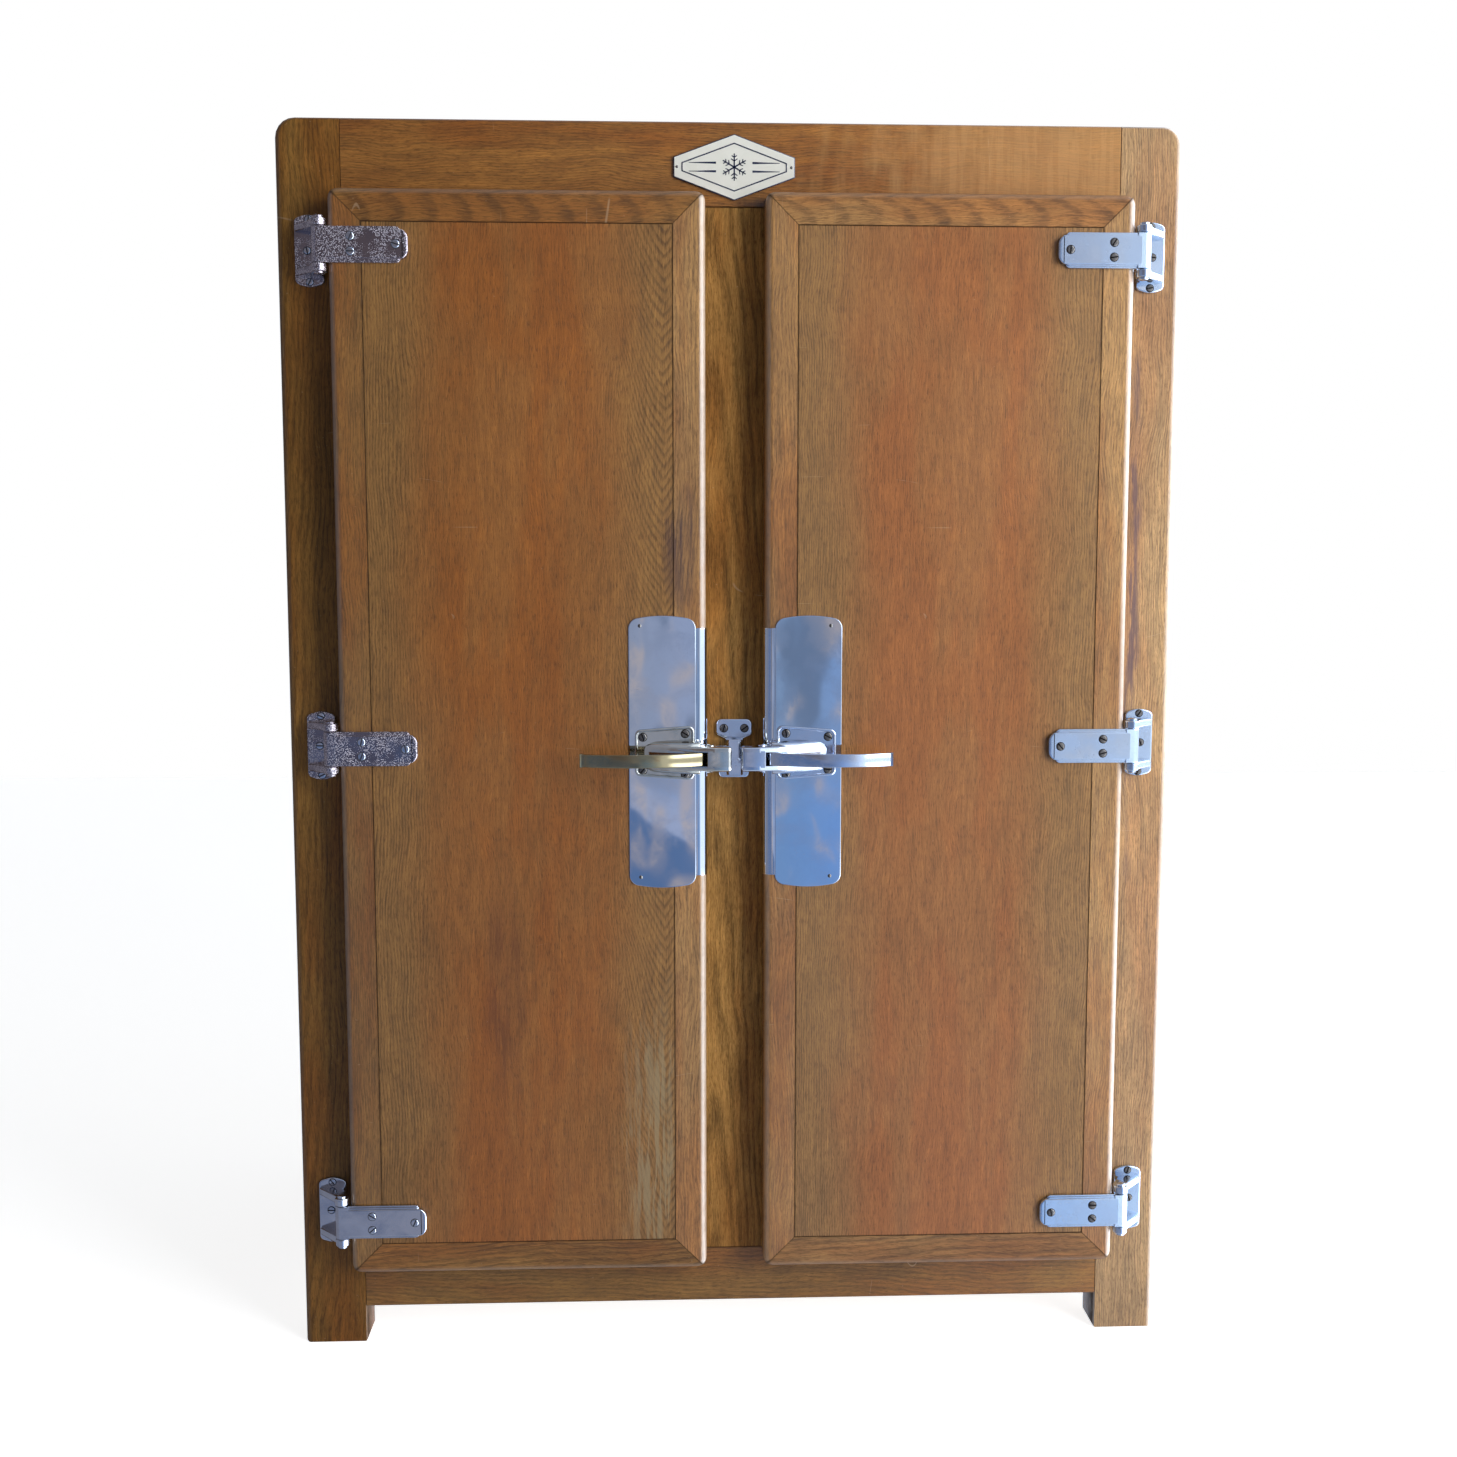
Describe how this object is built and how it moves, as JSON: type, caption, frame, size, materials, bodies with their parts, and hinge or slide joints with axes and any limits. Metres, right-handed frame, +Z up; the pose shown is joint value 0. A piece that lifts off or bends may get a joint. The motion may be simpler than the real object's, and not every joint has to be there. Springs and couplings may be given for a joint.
{
  "type": "icebox",
  "caption": "Tall oak icebox on square legs, with thick overlay doors on strap hinges, lever latches, zinc lining, shelves, ice tank and drip pan.",
  "frame": {"origin": "on the floor, under the centre of the whole object's box", "axes": "+Z up, the doors face -Y, +X to the viewer's right"},
  "size_m": [1.2, 0.7574, 1.665],
  "materials": {
    "oak": "waxed oak, worn and darkened at the joints",
    "oak_veneer": "waxed oak veneer, red-brown, upright grain",
    "cork": "pressed cork board",
    "zinc": "dull zinc sheet",
    "chrome": "old chrome plate, slightly pitted",
    "enamel": "glossy vitreous enamel",
    "rubber": "matt black rubber"
  },
  "bodies": {
    "cabinet": {"front_left_post": "oak", "front_right_post": "oak", "top_rail": "oak", "bottom_rail": "oak", "centre_mullion": "oak", "rear_left_post": "oak", "rear_right_post": "oak", "left_side_panel": "oak", "right_side_panel": "oak", "back_panel": "oak", "top_panel": "oak", "bottom_panel": "oak", "cork_insulation": "cork", "zinc_liner": "zinc", "drain_pipe": "zinc", "ice_tank": "zinc", "shelf_divider": "zinc", "left_lower_shelf": "zinc", "right_upper_shelf": "zinc", "right_middle_shelf": "zinc", "right_lower_shelf": "zinc", "badge_plate": "enamel", "latch_keeper": "chrome", "left_top_hinge_base": "chrome", "left_top_hinge_pin": "chrome", "left_middle_hinge_base": "chrome", "left_middle_hinge_pin": "chrome", "left_bottom_hinge_base": "chrome", "left_bottom_hinge_pin": "chrome", "right_top_hinge_base": "chrome", "right_top_hinge_pin": "chrome", "right_middle_hinge_base": "chrome", "right_middle_hinge_pin": "chrome", "right_bottom_hinge_base": "chrome", "right_bottom_hinge_pin": "chrome"},
    "left_door": {"left_door_frame": "oak", "left_door_panel": "oak_veneer", "left_door_core": "cork", "left_door_inner_pan": "zinc", "left_door_gasket": "rubber", "left_latch_plate": "chrome", "left_latch_housing": "chrome", "left_lever_pin": "chrome", "left_top_hinge_strap": "chrome", "left_middle_hinge_strap": "chrome", "left_bottom_hinge_strap": "chrome"},
    "right_door": {"right_door_frame": "oak", "right_door_panel": "oak_veneer", "right_door_core": "cork", "right_door_inner_pan": "zinc", "right_door_gasket": "rubber", "right_latch_plate": "chrome", "right_latch_housing": "chrome", "right_lever_pin": "chrome", "right_top_hinge_strap": "chrome", "right_middle_hinge_strap": "chrome", "right_bottom_hinge_strap": "chrome"},
    "left_handle": {"left_lever": "chrome"},
    "right_handle": {"right_lever": "chrome"},
    "drip_tray": {"drip_pan": "zinc"}
  },
  "joints": [
    {"name": "left_door_swing", "type": "hinge", "parent": "cabinet", "child": "left_door", "pos_m": [-0.536, -0.31525, 0.835], "axis": [0, 0, -1], "range_deg": [0, 165]},
    {"name": "right_door_swing", "type": "hinge", "parent": "cabinet", "child": "right_door", "pos_m": [0.536, -0.31525, 0.835], "axis": [0, 0, 1], "range_deg": [0, 165]},
    {"name": "left_lever_pull", "type": "hinge", "parent": "left_door", "child": "left_handle", "pos_m": [-0.034, -0.34125, 0.83], "axis": [0, 0, 1], "range_deg": [0, 18]},
    {"name": "right_lever_pull", "type": "hinge", "parent": "right_door", "child": "right_handle", "pos_m": [0.034, -0.34125, 0.83], "axis": [0, 0, -1], "range_deg": [0, 18]},
    {"name": "drip_pan_slide", "type": "slide", "parent": "cabinet", "child": "drip_tray", "axis": [0, -1, 0], "range_m": [0, 0.35]}
  ]
}
